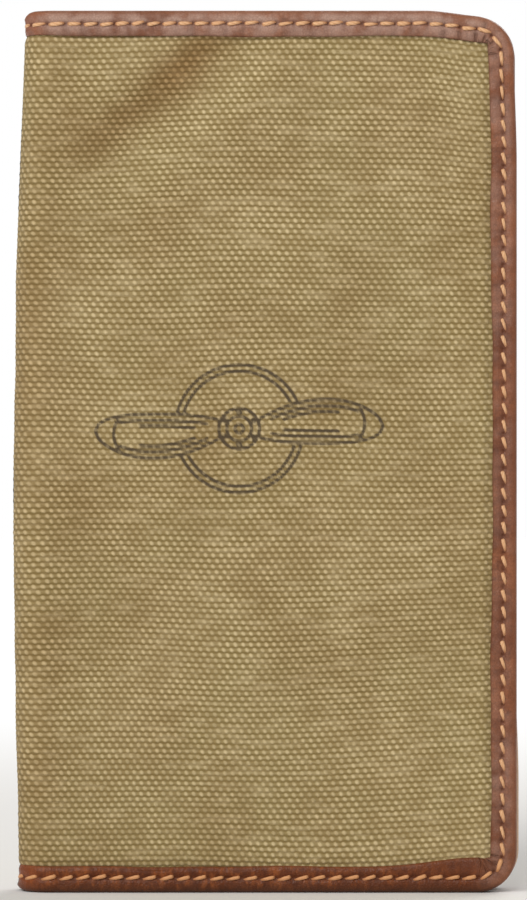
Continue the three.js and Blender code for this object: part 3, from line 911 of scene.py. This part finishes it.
def steps(low, high, fine, coarse):
    """Places from low to high, close together near both ends."""
    ends = [o for o in fine if o < (high - low) / 2]
    count = max(int((high - low - 2 * ends[-1]) / coarse), 2) + 1
    middle = np.linspace(low + ends[-1], high - ends[-1], count)
    return np.concatenate([[low + o for o in ends[:-1]], middle, [high - o for o in reversed(ends[:-1])]])


FINE = (0, 0.05, 0.13, 0.26, 0.45, 0.75, 1.1, 1.35, 1.6, 1.85, 2.1, 2.6, 3.4, 4.6)
COARSE = 1.6
MOUTH_CREASE = 1.6  # how far in from a pocket's mouth its creased line runs
LEAF_RADII = (1.6, 1.6)  # the corners of a card slot or of the ticket pocket
LEAF_LIFT = 0.16  # how far the middle of a stitch stands up from a pocket


def panel(name, side, low, high, depths, material, radii, mouth=None, top=None, bulge=0.0, seam=None):
    """A thin sheet of leather or board over part of a cover. low and high are its corners in x and z, depths
    those of its hidden and of its seen face, and radii its corners' on the left and on the right. mouth says
    which edge is creased: top or left. top is how far its upper edge dips, and seam is the row of stitches
    that draws it in."""
    places = [steps(low[k], high[k], FINE, COARSE) for k in (0, 1)]
    x, z = np.meshgrid(*places, indexing="ij")
    gap = np.minimum(np.minimum(x - low[0], high[0] - x), np.minimum(z - low[1], high[1] - z))
    to_top, to_left = high[1] - z, x - low[0]
    for left, radius in ((True, radii[0]), (False, radii[1])):
        cx = low[0] + radius if left else high[0] - radius
        for up in (True, False):
            cz = high[1] - radius if up else low[1] + radius
            a, b = (cx - x if left else x - cx), (z - cz if up else cz - z)
            held = (a > 0) & (b > 0)
            scale = np.where(held, np.maximum(a, b) / np.maximum(np.hypot(a, b), 1e-9), 1)
            x = np.where(held, cx + (x - cx) * scale, x)
            z = np.where(held, cz + (z - cz) * scale, z)
    if top is not None:
        z = z - top(x) * smooth((z - (low[1] + high[1]) / 2) / ((high[1] - low[1]) / 2))
    fall = 1 - np.sqrt(np.clip(1 - (1 - np.clip(gap / 0.3, 0, 1)) ** 2, 0, 1))
    thick = depths[1] - depths[0]
    seen = depths[1] - 0.32 * thick * fall
    edge = 0.8 * smooth((0.4 - gap) / 0.4)
    rub = np.zeros_like(x)
    if mouth:
        to_mouth = to_top if mouth == "top" else to_left
        line = to_mouth - MOUTH_CREASE
        seen = seen - 0.13 * bell(line / 0.16) + 0.05 * smooth((1.5 - to_mouth) / 0.3)
        edge = edge + 0.7 * bell(line / 0.2)
        rub = bell((to_mouth - 0.8) / 0.5)
    soft = Ripple(len(name) + 7, 17)
    middle = smooth(gap / 9)
    seen = seen + bulge * middle + 0.02 * soft(x, z) * middle
    u = x - FOLD_X + ARC
    hole = np.zeros_like(x)
    if seam is not None:
        # hole also darkens the leather round each stitch hole with painted shade
        hole = seam.near_hole(u, z, HOLE_SIZE)
        seen = seen - 0.16 * hole
    hidden = depths[0] + 0.25 * thick * fall + bulge * middle * 0.8
    points = np.concatenate([fold(u, z, depth, side).reshape(-1, 3) for depth in (seen, hidden)])
    mark = np.stack([hole, np.clip(edge, 0, 1), rub], -1).reshape(-1, 3)
    mark = np.concatenate([mark, np.tile([0, 0.4, 0], (x.size, 1))])
    return make(name, points, shell_faces(*x.shape), material, {"mark": mark}, side == BACK)


def cover_inside(name):
    """The board and the full-length pocket of one cover."""
    side = SIDES[name]
    body = name + "_cover"
    edge = BOARD_INSET
    stiff = panel(name + "_board", side, (FOLD_X + 0.3, edge), (FORE_X - edge, HEIGHT - edge), (2.12, 2.9),
                  BOARD, (0.8, CORNER - edge))
    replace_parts(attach(stiff, body), name + "_stiffener")
    low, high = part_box(name + "_long_pocket")
    leaf = panel(name + "_long_pocket_leaf", side, (low.x / MM, low.z / MM), (high.x / MM, high.z / MM),
                 (3.62, 4.38), POCKET, (2.0, CORNER - edge), mouth="left")
    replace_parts(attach(leaf, body), name + "_long_pocket")


def pocket_seam(x_low, x_high, z_low, z_high, surface, seed):
    """The seam down both sides of a pocket and along its bottom, whose stitches are all alike."""
    inset = 0.9
    left, right, bottom = x_low + inset + ARC - FOLD_X, x_high - inset + ARC - FOLD_X, z_low + inset
    path = Path([(left, z_high), (left, bottom), (right, bottom), (right, z_high)])
    return Seam(path, surface, 1, seed, lambda share: np.full(share.shape, POCKET_SLANT),
                lambda share: np.full(share.shape, STITCH_LENGTH))


def card_stack(stack):
    """Three card slots, each mouth above the one in front, sewn down together at the sides and the bottom."""
    boxes = [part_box(f"{stack}_card_slot_{k}") for k in (1, 2, 3)]
    lowest, highest = boxes[0]
    x_low, x_high, z_low = lowest.x / MM, highest.x / MM, lowest.z / MM
    tops = [hi.z / MM for _, hi in boxes]
    faces = [HALF_T + boxes[k][1].y / MM for k in range(3)]

    def face(u, z):
        z = np.asarray(z, float)
        return np.where(z < tops[0], faces[0], np.where(z < tops[1], faces[1], faces[2])) - LEAF_SINK

    seam = pocket_seam(x_low, x_high, z_low, tops[2] - 1.2, face, 131 + len(stack))
    for k, (lo, hi) in enumerate(boxes):
        depths = (HALF_T + lo.y / MM + 0.01, HALF_T + hi.y / MM - 0.01)
        slot = panel(f"{stack}_card_slot_leaf_{k + 1}", FRONT, (x_low, z_low), (x_high, tops[k]), depths,
                     POCKET, LEAF_RADII, mouth="top", bulge=0.1, seam=seam)
        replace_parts(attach(slot, "front_cover"), f"{stack}_card_slot_{k + 1}")
    row = seam.sew(f"{stack}_card_slot_stitches", FRONT, lift=LEAF_LIFT)
    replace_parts(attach(row, "front_cover"), f"{stack}_card_slot_thread")


def ticket_pocket():
    """The shorter pocket inside the back cover, with a scooped mouth for a thumb."""
    low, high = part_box("ticket_pocket")
    x_low, x_high, z_low, z_high = low.x / MM, high.x / MM, low.z / MM, high.z / MM
    middle = (x_low + x_high) / 2
    depths = (HALF_T - high.y / MM + 0.01, HALF_T - low.y / MM - 0.01)

    def face(u, z):
        return np.full(np.shape(u), depths[1] - LEAF_SINK)

    def scoop(x):
        return 6.0 * bell((x - middle) / 8.0)

    seam = pocket_seam(x_low, x_high, z_low, z_high - 1.4, face, 151)
    leaf = panel("ticket_pocket_leaf", BACK, (x_low, z_low), (x_high, z_high), depths, POCKET,
                 LEAF_RADII, mouth="top", top=scoop, bulge=0.12, seam=seam)
    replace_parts(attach(leaf, "back_cover"), "ticket_pocket")
    row = seam.sew("ticket_pocket_stitches", BACK, lift=LEAF_LIFT)
    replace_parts(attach(row, "back_cover"), "ticket_pocket_thread")


def spine_strip(name):
    """Half of the leather strip that backs the canvas in the spine."""
    side = SIDES[name]
    half_width, inset = 3.6, 1.3
    depths = (2.15, 2.85)
    u, z = np.meshgrid(np.linspace(0, half_width, 14), np.linspace(inset, HEIGHT - inset, 90), indexing="ij")
    points = np.concatenate([fold(u, z, depth, side).reshape(-1, 3) for depth in depths])
    piece = make(name + "_spine_strip", points, shell_faces(*u.shape), POCKET,
                 {"mark": np.zeros((2 * u.size, 3))}, side == FRONT)
    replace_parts(piece, "spine_reinforcement")
    across_fold(piece)


for half in SIDES:
    cover_inside(half)
    canvas(half)
    lining(half)
    spine_strip(half)
    binding(half)
for which in ("lower", "upper"):
    card_stack(which)
ticket_pocket()


# ---- The studio ----

def floor():
    """A pale floor that brightens to white away from the wallet."""
    mesh = bpy.data.meshes.new("floor")
    size = 4.0
    corners = [(-size, -size, 0), (size, -size, 0), (size, size, 0), (-size, size, 0)]
    mesh.from_pydata(corners, [], [(0, 1, 2, 3)])
    ground = bpy.data.objects.new("floor", mesh)
    bpy.context.scene.collection.objects.link(ground)
    n = Nodes("floor")
    far = n.node("VectorMath", {0: n.node("TexCoord").outputs["Object"]}, operation="LENGTH").outputs["Value"]
    glow = n.ramp(far, 0.2, 0.75)
    n.feed(n.shader.inputs["Base Color"], n.mix(glow, (0.86, 0.85, 0.83, 1), (0, 0, 0, 1)))
    n.feed(n.shader.inputs["Emission Strength"], glow)
    n.shader.inputs["Emission Color"].default_value = (1, 1, 1, 1)
    n.shader.inputs["Roughness"].default_value = 0.8
    n.shader.inputs["Specular IOR Level"].default_value = 0.1
    mesh.materials.append(n.material)


def lamp(name, size, power, place, target, colour):
    data = bpy.data.lights.new(name, "AREA")
    data.shape = "RECTANGLE"
    data.size, data.size_y = size
    data.energy = power
    data.color = colour
    made = bpy.data.objects.new(name, data)
    bpy.context.scene.collection.objects.link(made)
    made.location = place
    toward = Vector(target) - Vector(place)
    made.rotation_euler = toward.to_track_quat("-Z", "Y").to_euler()


def studio():
    """A white surround that lights softly, a large soft lamp from the front left and a weak one behind."""
    world = bpy.data.worlds.new("studio")
    world.use_nodes = True
    tree = world.node_tree
    background = tree.nodes["Background"]
    background.inputs["Color"].default_value = (1.0, 1.0, 1.0, 1)
    seen = tree.nodes.new("ShaderNodeLightPath").outputs["Is Camera Ray"]
    strength = tree.nodes.new("ShaderNodeMapRange")
    strength.inputs["To Min"].default_value = 0.33
    strength.inputs["To Max"].default_value = 1.0
    tree.links.new(seen, strength.inputs["Value"])
    tree.links.new(strength.outputs["Result"], background.inputs["Strength"])
    bpy.context.scene.world = world
    bpy.context.scene.view_settings.view_transform = "Standard"
    middle = (0, 0, 0.09)
    lamp("window", (3.8, 2.5), 172.0, (-1.8, -3.6, 2.9), middle, (1.0, 0.985, 0.96))
    lamp("rear", (1.2, 0.8), 11.0, (0.7, 1.0, 0.9), middle, (1.0, 0.985, 0.97))


def camera():
    """Straight in front and far off, with the wallet filling nearly all of the picture's height."""
    share = 0.97833  # of the picture's height that the wallet takes
    near_y, middle_x, middle_z = -4.0, -0.5, 89.3
    data = bpy.data.cameras.new("camera")
    data.lens, data.sensor_width = 200, 36
    data.clip_start, data.clip_end = 0.01, 20
    made = bpy.data.objects.new("camera", data)
    bpy.context.scene.collection.objects.link(made)
    away = data.lens * HEIGHT / share / data.sensor_width
    made.location = (middle_x * MM, (near_y - away) * MM, middle_z * MM)
    made.rotation_euler = (math.pi / 2, 0, 0)
    bpy.context.scene.camera = made


floor()
studio()
camera()
